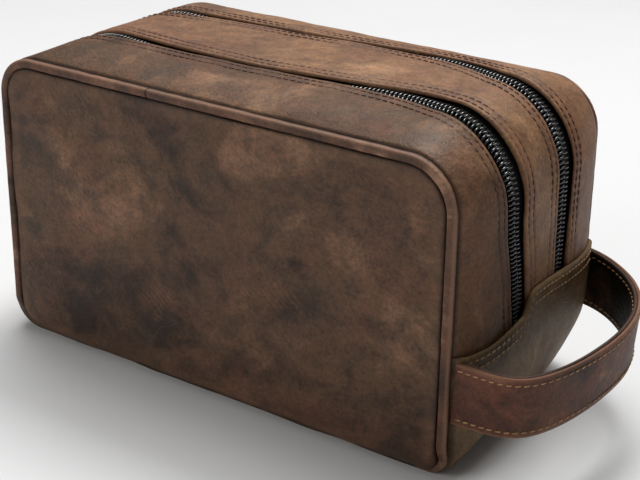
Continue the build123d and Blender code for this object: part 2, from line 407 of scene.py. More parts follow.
def leather(name, dark, base, warm, light, seed, wear_and_highlight=0.5, creasing=0.08):
    """Waxed pull-up leather: clouded browns, pale where it is creased or rubbed and at painted highlights,
    darkened by painted shade, with a fine grain.
    """
    dark, base, warm, light = map(srgb, (dark, base, warm, light))
    material, tree, shader = nodes_of(name)
    place = add_node(tree, "ShaderNodeMapping", Scale=(0.9, 1.0, 1.0), Location=(seed, seed * 0.37, 0))
    tree.links.new(attribute_node(tree, "rest", "Vector"), place.inputs["Vector"])
    place = place.outputs["Vector"]

    clouds = noise_node(tree, place, 19.0, 6.0, 0.58, 0.5)
    blotches = noise_node(tree, place, 46.0, 6.0, 0.62, 0.7)
    warmth = noise_node(tree, place, 27.0, 6.0, 0.62, 1.0)
    mottle = noise_node(tree, place, 130.0, 5.0, 0.7)
    flecks = noise_node(tree, place, 620.0, 5.0, 0.75)
    crease, creased = creases(tree, place)
    scratch = hairlines(tree, place)

    def share(value, strength):
        return math_node(tree, "MULTIPLY", value, strength)

    body = ramp_node(tree, clouds, (0.38, dark), (0.47, base), (0.54, base), (0.66, light))
    body = mix_node(tree, ramp_node(tree, warmth, (0.44, BLACK), (0.66, grey(0.55))), body, warm)
    body = mix_node(tree, ramp_node(tree, blotches, (0.36, grey(0.6)), (0.52, BLACK)), body, dark)
    body = mix_node(tree, share(creased, 0.4 * creasing), body, warm)
    body = mix_node(tree, share(crease, 0.6 * creasing), body, light)
    body = mix_node(tree, share(scratch, 0.15), body, light)
    tint = ramp_node(tree, mottle, (0.34, (0.76, 0.77, 0.78)), (0.5, WHITE), (0.68, (1.24, 1.2, 1.16)))
    body = mix_node(tree, 1.0, body, tint, "MULTIPLY")
    tint = ramp_node(tree, flecks, (0.34, grey(0.7)), (0.5, WHITE), (0.68, (1.34, 1.3, 1.25)))
    body = mix_node(tree, 1.0, body, tint, "MULTIPLY")
    # Paler towards the light colour by the rub mark: rub, and painted highlights on folded edges, crests and
    # the piping's outer edge. Darker by the shade mark: painted shade in seams, grooves, stitch rows, under
    # folds and on undersides.
    body = mix_node(tree, share(attribute_node(tree, "rub_and_highlight", "Fac"), wear_and_highlight), body, light)
    shade = share(attribute_node(tree, "shade", "Fac"), 0.85)
    body = mix_node(tree, shade, body, tuple(0.25 * v for v in dark))
    tree.links.new(body, shader.inputs["Base Color"])

    pebbles = add_node(tree, "ShaderNodeTexVoronoi", Scale=850.0)
    pebbles.feature = "SMOOTH_F1"
    tree.links.new(place, pebbles.inputs["Vector"])
    normal = bump_node(tree, noise_node(tree, place, 150.0, 6.0, 0.62, 1.6), 0.0007, 0.6)
    normal = bump_node(tree, crease, 0.0004, creasing, normal)
    normal = bump_node(tree, scratch, 0.00012, 0.6, normal)
    normal = bump_node(tree, pebbles.outputs["Distance"], 0.0003, 0.55, normal)
    normal = bump_node(tree, noise_node(tree, place, 1500.0, 3.0, 0.6), 0.00012, 0.6, normal)
    tree.links.new(normal, shader.inputs["Normal"])

    rough = ramp_node(tree, blotches, (0.3, grey(0.46)), (0.7, grey(0.64)))
    tree.links.new(rough, shader.inputs["Roughness"])
    shader.inputs["Specular IOR Level"].default_value = 0.24
    return material


def thread(name, colour, dark):
    """Twisted waxed thread."""
    material, tree, shader = nodes_of(name)
    place = attribute_node(tree, "rest", "Vector")
    fibre = noise_node(tree, place, 900.0, 3.0, 0.6)
    tree.links.new(ramp_node(tree, fibre, (0.35, dark), (0.65, colour)), shader.inputs["Base Color"])
    tree.links.new(bump_node(tree, fibre, 0.0002, 0.6), shader.inputs["Normal"])
    shader.inputs["Roughness"].default_value = 0.6
    return material


def nylon(name):
    """Glossy black nylon coil."""
    material, tree, shader = nodes_of(name)
    place = attribute_node(tree, "rest", "Vector")
    dust = noise_node(tree, place, 300.0, 5.0, 0.6)
    black = ramp_node(tree, dust, (0.3, grey(0.004)), (0.8, (0.016, 0.015, 0.015)))
    tree.links.new(black, shader.inputs["Base Color"])
    rough = ramp_node(tree, dust, (0.3, grey(0.07)), (0.8, grey(0.2)))
    tree.links.new(rough, shader.inputs["Roughness"])
    shader.inputs["Specular IOR Level"].default_value = 1.0
    return material


def woven(name, colour, dark, pitch):
    """Plain woven cloth, with its threads crossing at pitch millimetres."""
    material, tree, shader = nodes_of(name)
    place = attribute_node(tree, "rest", "Vector")
    waves = []
    for direction in ("X", "Y", "Z"):
        wave = add_node(tree, "ShaderNodeTexWave", Scale=1000.0 / pitch / 20.0, Distortion=0.3)
        wave.bands_direction = direction
        tree.links.new(place, wave.inputs["Vector"])
        waves.append(wave.outputs["Fac"])
    weave = math_node(tree, "MULTIPLY", math_node(tree, "ADD", waves[0], waves[1]), waves[2])
    tint = noise_node(tree, place, 60.0, 4.0)
    shade = mix_node(tree, tint, dark, colour)
    shade = mix_node(tree, math_node(tree, "MULTIPLY", weave, 0.35), shade, dark)
    tree.links.new(shade, shader.inputs["Base Color"])
    tree.links.new(bump_node(tree, weave, 0.0003, 0.7), shader.inputs["Normal"])
    shader.inputs["Roughness"].default_value = 0.85
    return material


def aged_metal(name):
    """Antique brass plating, with patchy tarnish."""
    material, tree, shader = nodes_of(name)
    coordinates = tree.nodes.new("ShaderNodeTexCoord").outputs["Object"]
    tarnish = noise_node(tree, coordinates, 260.0, 6.0, 0.65)
    brass = ramp_node(tree, tarnish, (0.35, srgb("3a2c1c")), (0.62, srgb("8a7048")))
    tree.links.new(brass, shader.inputs["Base Color"])
    rough = ramp_node(tree, tarnish, (0.3, grey(0.5)), (0.7, grey(0.27)))
    tree.links.new(rough, shader.inputs["Roughness"])
    tree.links.new(bump_node(tree, tarnish, 0.00008, 0.5), shader.inputs["Normal"])
    shader.inputs["Metallic"].default_value = 1.0
    return material


# The middle and rear bands, over the top, are a paler copy of the leather and the front band and panels
# darker ones: partly painted light from above and painted shade.
PANEL_LEATHER = leather("panel_leather", "35281f", "5a4332", "6e4a39", "83624b", 0.31, creasing=0.4)
FRONT_LEATHER = leather("front_band_leather", "46321f", "61452f", "694431", "8d6a4f", 0.83)
BAND_LEATHER = leather("band_leather", "6d4e39", "866347", "855840", "a37e5d", 1.47)
BASE_LEATHER = leather("base_leather", "4a3825", "6e563b", "684830", "927852", 1.9)
PIPING_LEATHER = leather("piping_leather", "3a2a21", "5d4233", "6d4637", "ab846a", 2.6, 0.75)
STRAP_LEATHER = leather("strap_leather", "37231a", "5c3b2c", "6e3f30", "936b52", 3.7)
# The strap's inner layer is near-black: dark leather, darkened further as painted shade inside the loop.
INNER_LEATHER = leather("strap_inner_leather", "080504", "100b08", "130c09", "5e4434", 4.4)
RED_THREAD = thread("red_thread", srgb("6b3a2c"), srgb("3e2018"))
TAN_THREAD = thread("tan_thread", srgb("c79a69"), srgb("8a613e"))
COIL_NYLON = nylon("coil_nylon")
TAPE_CLOTH = woven("tape_cloth", grey(0.012), grey(0.004), 0.8)
LINING_CLOTH = woven("lining_cloth", srgb("3a3430"), srgb("221e1b"), 0.6)
CORD_CLOTH = woven("cord_cloth", srgb("b5a98e"), srgb("7f745d"), 1.0)
BRASS = aged_metal("aged_brass")

SIDES = (("front", -1), ("rear", 1))


def bend_with_wall(piece):
    """Bakes a piece's placement into its mesh."""
    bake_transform(piece)


# ---- Panels ----
PANEL_INSET = 4.7
PANEL_LOW = 1.0  # the panel covers the piping along the foot
PANEL_FACE = 66.9  # depth of the panel's face beside the piping
PANEL_DOME = 1.6  # rise of the panel's face over its first PANEL_DOME_RUN in from the edge
PANEL_DOME_RUN = 40.0
PANEL_LIP = 58.0  # the panel's turned-in edge reaches back to this depth
PANEL_EDGE = 1.3  # radius of the turn at the panel's edge, and along the foot
PANEL_FOOT_EDGE = 5.5
PANEL_FOOT_HIGH = 16.0  # the turn widens below this height
FOOT_RUN = 12.0  # height over which the panel and the piping change towards the foot
PANEL_FOOT_INSET = 3.0  # of the foot corners
PANEL_GRID = (110, 56)


def spread(start, end, margin, count, edge_count=14):
    """Places from start to end, closer together over the margin at each end."""
    near = margin * np.linspace(0, 1, edge_count) ** 1.5
    middle = np.linspace(start + margin, end - margin, count)[1:-1]
    return np.concatenate([start + near, middle, end - near[::-1]])


def rounded_sheet(half_x, low, high, corners, columns, rows):
    """A grid over a round-cornered rectangle, and each point's distance in from its edge.

    corners are the radii at the right foot, the left foot, the left top and the right top.
    """
    margin = max(corners)
    places = spread(-half_x, half_x, margin, columns), spread(low, high, margin, rows)
    x, z = np.meshgrid(*places, indexing="ij")
    edge = np.minimum(np.minimum(x + half_x, half_x - x), np.minimum(z - low, high - z))
    for radius, sx, sz in zip(corners, (1, -1, -1, 1), (-1, -1, 1, 1)):
        centre_x = sx * (half_x - radius)
        centre_z = (high if sz > 0 else low) - sz * radius
        a = np.clip(sx * (x - centre_x) / radius, 0, 1)
        b = np.clip(sz * (z - centre_z) / radius, 0, 1)
        inside = (a > 0) & (b > 0)
        across, along = a * np.sqrt(1 - b * b / 2), b * np.sqrt(1 - a * a / 2)
        x = np.where(inside, centre_x + sx * radius * across, x)
        z = np.where(inside, centre_z + sz * radius * along, z)
        edge = np.where(inside, radius * (1 - np.hypot(across, along)), edge)
    return x, z, edge


def panel(side_name, side):
    """The front or rear panel, with its edge turned in behind the piping."""
    end = 0 if side < 0 else 2
    corners = (
        RIGHT_FOOT_CORNER[end] - PANEL_FOOT_INSET,
        LEFT_FOOT_CORNER[end] - PANEL_FOOT_INSET,
        LEFT_CORNER[end] - PANEL_INSET,
        RIGHT_CORNER[end] - PANEL_INSET,
    )
    x, z, edge = rounded_sheet(HALF - PANEL_INSET, PANEL_LOW, HEIGHT - PANEL_INSET, corners, *PANEL_GRID)
    radius = PANEL_EDGE + (PANEL_FOOT_EDGE - PANEL_EDGE) * ease((PANEL_FOOT_HIGH - z) / FOOT_RUN)
    turn = np.clip(radius - edge, 0, radius)
    drop = radius - np.sqrt(np.maximum(radius**2 - turn**2, 0))
    depth = PANEL_FACE + PANEL_DOME * ease(edge / PANEL_DOME_RUN) - drop
    face = np.stack([x, side * depth, z], -1)
    rows, columns = x.shape
    rim = [i * columns for i in range(rows)] + [(rows - 1) * columns + j for j in range(1, columns)]
    rim += [i * columns + columns - 1 for i in range(rows - 2, -1, -1)] + list(range(columns - 2, 0, -1))
    points = [face.reshape(-1, 3)]
    rings = [rim]
    for back in (PANEL_LIP + 2.5, PANEL_LIP):
        ring = points[0][rim]
        ring[:, 1] = side * back
        rings.append([sum(map(len, points)) + k for k in range(len(rim))])
        points.append(ring)
    faces = grid_faces(rows, columns)
    for near, far in zip(rings, rings[1:]):
        faces += [(near[k - 1], near[k], far[k], far[k - 1]) for k in range(len(rim))]
    edge = np.concatenate([edge.ravel(), np.zeros(2 * len(rim))])
    # Painted shade darkens the panel's edge beside the piping; a strip about 4 mm in is paler, rub with a
    # painted highlight.
    marks = {"rub_and_highlight": 0.3 * np.exp(-(((edge - 4.0) / 2.5) ** 2)), "shade": np.exp(-((edge / 0.9) ** 2))}
    piece = mesh_piece(f"{side_name}_panel", np.concatenate(points), faces, PANEL_LEATHER, marks)
    face_outwards(piece)
    relief(piece, 34.0, 0.8, 3.0 + side)
    relief(piece, 9.0, 0.2, 8.0 + side)
    solid = piece.modifiers.new("thickness", "SOLIDIFY")
    solid.thickness = LEATHER * MM
    solid.offset = -1
    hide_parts(f"{side_name}_panel_upper", f"{side_name}_panel_lower")
    bend_with_wall(piece)


# ---- Piping ----
RIM_STEPS = (46, 14, 96, 14, 46, 10, 96, 14)
PIPE_SIDES = 22
PIPE_SQUARENESS = 3.0
PIPE_HALF_WIDTH = 2.2
PIPE_HALF_DEPTH = 2.2
PIPE_MIDDLE = 65.3  # depth of the piping's middle
PIPE_TUCK = 3.6  # the piping lies this much further back along the foot
PIPE_FOOT_HIGH = 17.0  # the tuck starts below this height
JOINT_X = -34.0  # where the ends of the piping meet
CORD_RADIUS = 1.3
CORD_SIDES = 10


def rim_path(inset, end):
    """The closed line of the piping, and its outward directions, for the front or rear end."""
    half, top, foot = HALF - inset, HEIGHT - inset, inset
    centres = []
    for corner, sx, sz in (
        (LEFT_CORNER, -1, 1),
        (RIGHT_CORNER, 1, 1),
        (RIGHT_FOOT_CORNER, 1, -1),
        (LEFT_FOOT_CORNER, -1, -1),
    ):
        radius = corner[end] - inset
        centres.append((sx * (half - radius), (top if sz > 0 else foot) - sz * radius, radius))
    places, directions = [], []
    angle = math.pi
    for k, (cx, cz, radius) in enumerate(centres):
        bx, bz, before = centres[k - 1]
        out = np.array([math.cos(angle), math.sin(angle)])
        start, finish = np.array([bx, bz]) + before * out, np.array([cx, cz]) + radius * out
        shares = np.linspace(0, 1, RIM_STEPS[2 * k], endpoint=False)
        if k == 1:
            joint = (JOINT_X - start[0]) / (finish[0] - start[0])
            shares = np.sort(np.concatenate([shares, joint + np.linspace(-0.006, 0.006, 13)]))
        for t in shares:
            places.append(start + t * (finish - start))
            directions.append(out)
        for t in np.linspace(0, 1, RIM_STEPS[2 * k + 1], endpoint=False):
            out = np.array([math.cos(angle - t * QUARTER), math.sin(angle - t * QUARTER)])
            places.append(np.array([cx, cz]) + radius * out)
            directions.append(out)
        angle -= QUARTER
    return np.array(places), np.array(directions)


def superellipse(count, half_width, half_height, power):
    """A rounded square section, as columns of across and outward."""
    angle = np.linspace(0, 2 * math.pi, count, endpoint=False)
    cos, sin = np.cos(angle), np.sin(angle)
    across = half_width * np.sign(cos) * np.abs(cos) ** (2 / power)
    return across, half_height * np.sign(sin) * np.abs(sin) ** (2 / power)


def round_the_rim(places, directions, section, shrink, side):
    """Points of a tube round the panel. shrink narrows it, one value for each place."""
    across, outward = (part[None, :] * (1 - shrink[:, None]) for part in section)
    back = PIPE_TUCK * ease((PIPE_FOOT_HIGH - places[:, 1:]) / FOOT_RUN)
    x = places[:, :1] + directions[:, :1] * across
    z = places[:, 1:] + directions[:, 1:] * across
    return np.stack([x, side * (PIPE_MIDDLE + outward - back), z], -1)


def piping(side_name, side):
    """A panel's piping, pinched where its ends meet, and the cord inside it."""
    places, directions = rim_path(PIPE_HALF_WIDTH + 0.1, 0 if side < 0 else 2)
    section = superellipse(PIPE_SIDES, PIPE_HALF_WIDTH, PIPE_HALF_DEPTH, PIPE_SQUARENESS)
    on_top = places[:, 1] > HEIGHT - 2 * PIPE_HALF_WIDTH
    pinch = 0.2 * np.exp(-(((places[:, 0] - JOINT_X) / 0.4) ** 2)) * on_top
    points = round_the_rim(places, directions, section, pinch, side)
    across, outward = (part[None, :] + 0 * pinch[:, None] for part in section)
    # Painted shade on the piping's back, turned into the seam, and a dark line at the joint; the outer edge
    # is paler, a painted highlight with rub.
    shade = np.where(outward > -0.8, 5 * pinch[:, None], 1.0)
    rub_and_highlight = np.clip(across / PIPE_HALF_WIDTH, 0, 1) ** 3 * np.clip(outward / PIPE_HALF_DEPTH + 0.2, 0, 1)
    faces = grid_faces(len(places), PIPE_SIDES, wrap_rows=True, wrap_columns=True)
    piece = mesh_piece(f"{side_name}_piping", points, faces, PIPING_LEATHER, {"shade": shade, "rub_and_highlight": rub_and_highlight})
    face_outwards(piece)
    relief(piece, 6.0, 0.14, 1.0 + side)
    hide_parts(f"{side_name}_piping_upper", f"{side_name}_piping_lower")
    bend_with_wall(piece)

    section = superellipse(CORD_SIDES, CORD_RADIUS, CORD_RADIUS, 2.0)
    points = round_the_rim(places, directions, section, 0 * pinch, side)
    faces = grid_faces(len(places), CORD_SIDES, wrap_rows=True, wrap_columns=True)
    core = mesh_piece(f"{side_name}_piping_cord", points, faces, CORD_CLOTH)
    face_outwards(core)
    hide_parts(f"{side_name}_piping_core_upper", f"{side_name}_piping_core_lower")
    bend_with_wall(core)


# ---- Bands ----
BAND_START = 63.8  # depth of the outer bands' piped seams
BAND_FOOT = 46.0  # the bands run down behind the end tabs to here
GROOVE_DROP = 1.8  # how far the leather goes down past its turn into a seam
STITCH_SINK = 0.35  # how far the stitches pull the leather down
UNDERSIDE_INSET = 6.0  # of a band's underside, in from its edges


def fold_profile():
    """A folded edge, from its top round to its underside: (in from the edge, lift)."""
    angle = np.linspace(0, math.pi, 9)
    return [(FOLD_RADIUS * (1 - math.sin(a)), FOLD_RADIUS * (math.cos(a) - 1)) for a in angle]


def groove_profile():
    """A turn down into a piped seam, from its bottom up: (in from the edge, lift)."""
    angle = np.linspace(0, QUARTER, 6)
    turn = [(GROOVE - GROOVE * math.cos(a), GROOVE * (math.sin(a) - 1)) for a in angle]
    return [(0.0, -GROOVE - GROOVE_DROP)] + turn


def sunk(distance):
    """How far the leather is pulled down beside the stitch rows, at a distance from the edge."""
    return sum(-STITCH_SINK * np.exp(-(((distance - row) / 0.55) ** 2)) for row in STITCH_ROWS)


def near_stitches(distance):
    """How near a distance from the edge is to the stitch rows: 1 on a row."""
    return sum(np.exp(-(((distance - row) / 0.8) ** 2)) for row in STITCH_ROWS)


def groove_columns():
    """A band's columns beside a piped seam: (in from the edge, lift, painted shade down in the groove, rub
    with a painted highlight on the crest beyond it).
    """
    return [
        (d, lift, 0.7 * math.exp(-((d / 0.8) ** 2)), 0.25 * math.exp(-(((d - 4) / 2.5) ** 2)))
        for d, lift in groove_profile()
    ]


def fold_columns():
    """A band's columns beside a folded edge: (in from the edge, lift, painted shade, rub and painted
    highlight).
    """
    columns = [(5.5, -2 * FOLD_RADIUS)] + fold_profile()[::-1]
    for row in STITCH_ROWS:
        columns += [(row + step, float(sunk(row + step))) for step in (-0.7, -0.3, 0.0, 0.3, 0.7)]
    marked = []
    for distance, lift in columns:
        # Painted shade along the sunk stitch rows and on the fold's underside; the fold's top is paler, rub
        # with a painted highlight.
        shade = 0.28 * near_stitches(distance) if distance > FOLD_RADIUS else 0.0
        under_fold_shade = 0.9 if lift < -1.7 else 0.0
        rub_and_highlight = 0.2 if lift > -1.2 and distance < FOLD_RADIUS else 0.0
        marked.append((distance, lift, shade + under_fold_shade, rub_and_highlight))
    return marked


BAND_EDGES = {"groove": groove_columns(), "fold": fold_columns()}


def closed_band(name, left_edge, right_edge, left_kind, right_kind, material):
    """A band over the arch, with a closed section between two edges.

    Each edge is an array of signed depths along the arch. Its kind is "groove" or "fold".
    """
    left, right = BAND_EDGES[left_kind], BAND_EDGES[right_kind]
    reach_left, reach_right = left[-1][0], right[-1][0]
    width = right_edge - left_edge
    columns = [(left_edge + distance, *marks) for distance, *marks in left]
    for share in np.linspace(0, 1, 16)[1:-1]:
        depth = left_edge + reach_left + share * (width - reach_left - reach_right)
        columns.append((depth, 0.0, 0.0, 0.0))
    columns += [(right_edge - distance, *marks) for distance, *marks in right[::-1]]
    # The band's underside, inside the bag, is darkened all over as painted shade.
    for share in (0.9, 0.7, 0.5, 0.3, 0.1):
        depth = left_edge + UNDERSIDE_INSET + share * (width - 2 * UNDERSIDE_INSET)
        columns.append((depth, -LEATHER - 0.2, 1.0, 0.0))
    depths, lifts, shades, rubs_and_highlights = zip(*columns)
    depth = np.stack(depths, -1)
    points = on_arch(depth, np.broadcast_to(lifts, depth.shape), BAND_FOOT)
    marks = {"shade": np.broadcast_to(shades, depth.shape), "rub_and_highlight": np.broadcast_to(rubs_and_highlights, depth.shape)}
    piece = mesh_piece(name, points, tube_faces(*depth.shape), material, marks)
    face_outwards(piece)
    return piece


def bands():
    """The front, middle and rear bands, between the pipings and the zips."""
    front_middle, front_gap = zip_edges(-1)
    rear_middle, rear_gap = zip_edges(1)
    start = np.full(len(ARCH), BAND_START)
    edge = front_middle - front_gap
    front = closed_band("front_band_leather", -start, edge, "groove", "fold", FRONT_LEATHER)
    edges = front_middle + front_gap, rear_middle - rear_gap
    middle = closed_band("middle_band_leather", *edges, "fold", "fold", BAND_LEATHER)
    rear = closed_band("rear_band_leather", rear_middle + rear_gap, start, "fold", "groove", BAND_LEATHER)
    for piece, node, seed in (
        (front, "front_band", 11.0),
        (middle, "middle_band", 12.0),
        (rear, "rear_band", 13.0),
    ):
        relief(piece, 30.0, 0.6, seed)
        relief(piece, 7.0, 0.14, seed + 5)
        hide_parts(node)
    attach(middle, "bag")
    bend_with_wall(front)
    bend_with_wall(rear)


# ---- Base, with its end tabs ----
BASE_STEPS = (16, 14, 70, 14, 16)
BASE_LIFT = 2.2  # off the skin
TAB_UNDER = 7.0  # how far an end tab's top edge is turned under
TAB_SEAM_INSET = 5.5  # the tabs' stitch rows end this far from the seams


def on_base(depth, lift, left_top, right_top, rows):
    """Points on the base: rows from the left tab's top edge, under the bag, to the right tab's."""
    leg, t = rows[:, :1], rows[:, 1:]
    depth = depth + 0 * t
    half = HALF + swell(depth)
    left = radius_at(LEFT_FOOT_CORNER, depth, FOOT_POWER)
    right = radius_at(RIGHT_FOOT_CORNER, depth, FOOT_POWER)
    low_left, low_right = BASE_LIFT + left, BASE_LIFT + right
    turn = np.where(leg == LEFT_TURN, math.pi + t * QUARTER, 3 * QUARTER + t * QUARTER)
    cos, sin = np.cos(turn), np.sin(turn)
    stops = (
        (-half, left_top + t * (low_left - left_top), -1.0, 0.0),
        (-half + left + left * cos, low_left + left * sin, cos, sin),
        (-half + left + t * (2 * half - left - right), BASE_LIFT, 0.0, -1.0),
        (half - right + right * cos, low_right + right * sin, cos, sin),
        (half, low_right + t * (right_top - low_right), 1.0, 0.0),
    )
    return lifted(rows, depth, lift, stops)


# Height of the right tab's top edge at each depth: it steps up just behind the front zip
RIGHT_TAB = (
    (-65.0, 60.0),
    (-57.0, 58.8),
    (-45.0, 59.0),
    (-27.0, 61.0),
    (-17.0, 62.6),
    (-14.2, 66.5),
    (-12.0, 71.0),
    (-9.0, 73.0),
    (3.0, 73.0),
    (25.0, 71.3),
    (45.0, 70.0),
    (65.0, 69.0),
)


def tab_top(depth, right):
    """Height of an end tab's top edge."""
    return np.interp(depth, *zip(*RIGHT_TAB)) if right else TAB_TOP + 0.0 * depth


def base():
    """The base and its end tabs, as one sheet from tab edge to tab edge."""
    groove = groove_profile()
    inner = np.linspace(-BAND_START + GROOVE, BAND_START - GROOVE, 100)[1:-1]
    depth = [-BAND_START + d for d, _ in groove] + list(inner) + [BAND_START - d for d, _ in groove[::-1]]
    drop = [lift for _, lift in groove] + [0.0] * len(inner) + [lift for _, lift in groove[::-1]]
    depth, drop = np.array([depth]), np.array([drop])
    left_top, right_top = tab_top(depth, False), tab_top(depth, True)
    rows = path_rows(BASE_STEPS)

    def strip(lift, left_drop, right_drop, rows):
        return on_base(depth, BASE_LIFT + lift + drop, left_top - left_drop, right_top - right_drop, rows)

    fold = fold_profile()
    under = (TAB_UNDER, -2 * FOLD_RADIUS)
    head = [strip(lift, inward, 0.0, rows[:1]) for inward, lift in [under] + fold[::-1][:-1]]
    tail = [strip(lift, 0.0, inward, rows[-1:]) for inward, lift in fold[1:] + [under]]
    points = np.concatenate(head + [strip(0.0, FOLD_RADIUS, FOLD_RADIUS, rows)] + tail)
    from_top = np.abs(tab_top(points[..., 1], False) - points[..., 2])
    from_top = np.where(points[..., 0] > 0, tab_top(points[..., 1], True) - points[..., 2], from_top)
    across = BAND_START - np.abs(points[..., 1])
    # Painted shade along the tabs' stitch rows and down in the piped seams; the tabs' folded top edges are
    # paler, rub with a painted highlight.
    shade = np.clip(0.45 * near_stitches(from_top) + 0.7 * np.exp(-((across / 0.8) ** 2)), 0, 1)
    marks = {"shade": shade, "rub_and_highlight": 0.7 * np.exp(-((from_top / 1.5) ** 2))}
    piece = mesh_piece("base_leather_panel", points, grid_faces(*points.shape[:2]), BASE_LEATHER, marks)
    face_outwards(piece)
    relief(piece, 26.0, 0.9, 21.0)
    relief(piece, 8.0, 0.15, 23.0)
    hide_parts("base_panel")
    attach(piece, "bag")


# ---- Zips ----
TAPE_LIFT = -3.9  # off the skin
TAPE_SINK = 1.5  # the tape lies this much lower where the leather closes over the coil
TAPE_THICKNESS = 0.7
TAPE_NEAR = 0.35  # from the zip's middle to the tape's edge
TAPE_REACH = 11.0
TAPE_COLUMNS = 7
COIL_PITCH = 2.2
COIL_HALF_WIDTH = 2.25
COIL_HALF_HEIGHT = 1.15
COIL_WIRE = 0.55
COIL_LAP = 0.35  # how far each side's coil reaches past the zip's middle
COIL_TURN_STEPS = 12
WIRE_SIDES = 6
ZIP_FOOT = 52.0
COIL_FOOT = 57.0


def tape_sink(gap):
    """How much lower the tape lies where half the zip's gap is this."""
    return TAPE_SINK * (1 - ease((gap - 2.2) / 2.6))


def zip_tape(side_name, side, half_name, half_sign):
    """One side's tape, from the zip's middle to under the leather."""
    middle, gap = zip_edges(side)
    sink = tape_sink(gap)[:, None]
    near = middle + half_sign * TAPE_NEAR
    far = middle + half_sign * TAPE_REACH
    top = [near + s * (far - near) for s in np.linspace(0, 1, TAPE_COLUMNS)]
    depth = np.stack(top + top[::-1], -1)
    lift = np.repeat([TAPE_LIFT, TAPE_LIFT - TAPE_THICKNESS], TAPE_COLUMNS)
    points = on_arch(depth, lift[None, :] - sink, ZIP_FOOT)
    piece = mesh_piece(f"{side_name}_{half_name}_tape", points, tube_faces(*depth.shape), TAPE_CLOTH)
    face_outwards(piece)
    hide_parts(f"{side_name}_zip_tape_{half_name}")
    return piece


def zip_coil(side_name, side, half_name, half_sign):
    """One side's coil: a flattened helix of nylon wire that laps the other side's at the middle."""
    middle, gap = zip_edges(side)
    lift = TAPE_LIFT + COIL_HALF_HEIGHT + 0.1 - tape_sink(gap)[:, None]
    line = on_arch(middle[:, None], lift, COIL_FOOT)[:, 0]
    raised = on_arch(middle[:, None], lift + 1, COIL_FOOT)[:, 0]
    lengths = path_lengths(line)
    turns = int(lengths[-1] / COIL_PITCH)
    phase = np.arange(turns * COIL_TURN_STEPS + 1) / COIL_TURN_STEPS
    shift = 0.25 if half_sign < 0 else 0.75
    travel = np.clip((phase + shift) * COIL_PITCH, 0, lengths[-1])
    up = unit(along_line(travel, lengths, raised - line))
    angle = phase * 2 * math.pi
    across = half_sign * (COIL_HALF_WIDTH - COIL_LAP - COIL_HALF_WIDTH * np.cos(angle))
    rise = COIL_HALF_HEIGHT * np.sin(angle)
    wire = along_line(travel, lengths, line) + up * rise[:, None]
    wire[:, 1] += across
    forward = unit(np.gradient(wire, axis=0))
    side_on = unit(np.cross(forward, up))
    normal = np.cross(side_on, forward)
    ring = np.linspace(0, 2 * math.pi, WIRE_SIDES, endpoint=False)
    cos, sin = np.cos(ring)[None, :, None], np.sin(ring)[None, :, None]
    points = wire[:, None] + COIL_WIRE * (cos * normal[:, None] + sin * side_on[:, None])
    faces = tube_faces(len(wire), WIRE_SIDES)
    piece = mesh_piece(f"{side_name}_{half_name}_coil", points, faces, COIL_NYLON)
    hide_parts(f"{side_name}_zip_coil_{half_name}")
    return piece


def zips():
    for side_name, side in SIDES:
        for half_name, half_sign in (("outer", side), ("inner", -side)):
            for build in (zip_tape, zip_coil):
                piece = build(side_name, side, half_name, half_sign)
                if half_name == "outer":
                    bend_with_wall(piece)
                else:
                    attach(piece, "bag")


# ---- Stitches ----
def stitch_mesh():
    """One stitch, 1 unit long along X, with its middle raised: points and faces."""
    stations = np.linspace(-0.5, 0.5, 9)
    sides = 6
    points = []
    for s in stations:
        taper = math.sqrt(max(0.0, 1 - (2 * s) ** 6)) * 0.92 + 0.08
        height = 0.32 * math.cos(math.pi * s)
        for angle in np.linspace(0, 2 * math.pi, sides, endpoint=False):
            points.append((s, math.cos(angle) * taper, math.sin(angle) * taper * 0.8 + height))
    return np.array(points), tube_faces(len(stations), sides)


STITCH_POINTS, STITCH_FACES = stitch_mesh()


def sew(name, lines, material):
    """Stitches along lines. A line is its points and the direction out of the leather at each."""
    points, faces = [], []
    for line, out in lines:
        lengths = path_lengths(line)
        for k in range(int(lengths[-1] / STITCH_PITCH)):
            centre = (k + 0.5) * STITCH_PITCH
            ends = along_line(centre + STITCH_LENGTH * np.array([-0.5, 0.5]), lengths, line)
            forward = unit(ends[1] - ends[0])
            up = along_line(centre, lengths, out)
            up = unit(up - forward * up.dot(forward))
            across = np.cross(up, forward)
            local = STITCH_POINTS * np.array([STITCH_LENGTH, STITCH_RADIUS, STITCH_RADIUS])
            placed = local[:, :1] * (forward + STITCH_SLANT * across) + local[:, 1:2] * across
            faces += [tuple(len(points) + v for v in face) for face in STITCH_FACES]
            points += list(along_line(centre, lengths, line) + placed + local[:, 2:] * up)
    piece = mesh_piece(name, points, faces, material)
    face_outwards(piece)
    return piece


def arch_seam(depth):
    """A stitch line over the arch at a depth, and its outward directions."""
    line = on_arch(depth[:, None], STITCH_LIFT - STITCH_SINK, BAND_FOOT)[:, 0]
    out = on_arch(depth[:, None], 1.0, BAND_FOOT)[:, 0] - on_arch(depth[:, None], 0.0, BAND_FOOT)[:, 0]
    shown = line[:, 2] > TAB_TOP - 3
    return line[shown], out[shown]


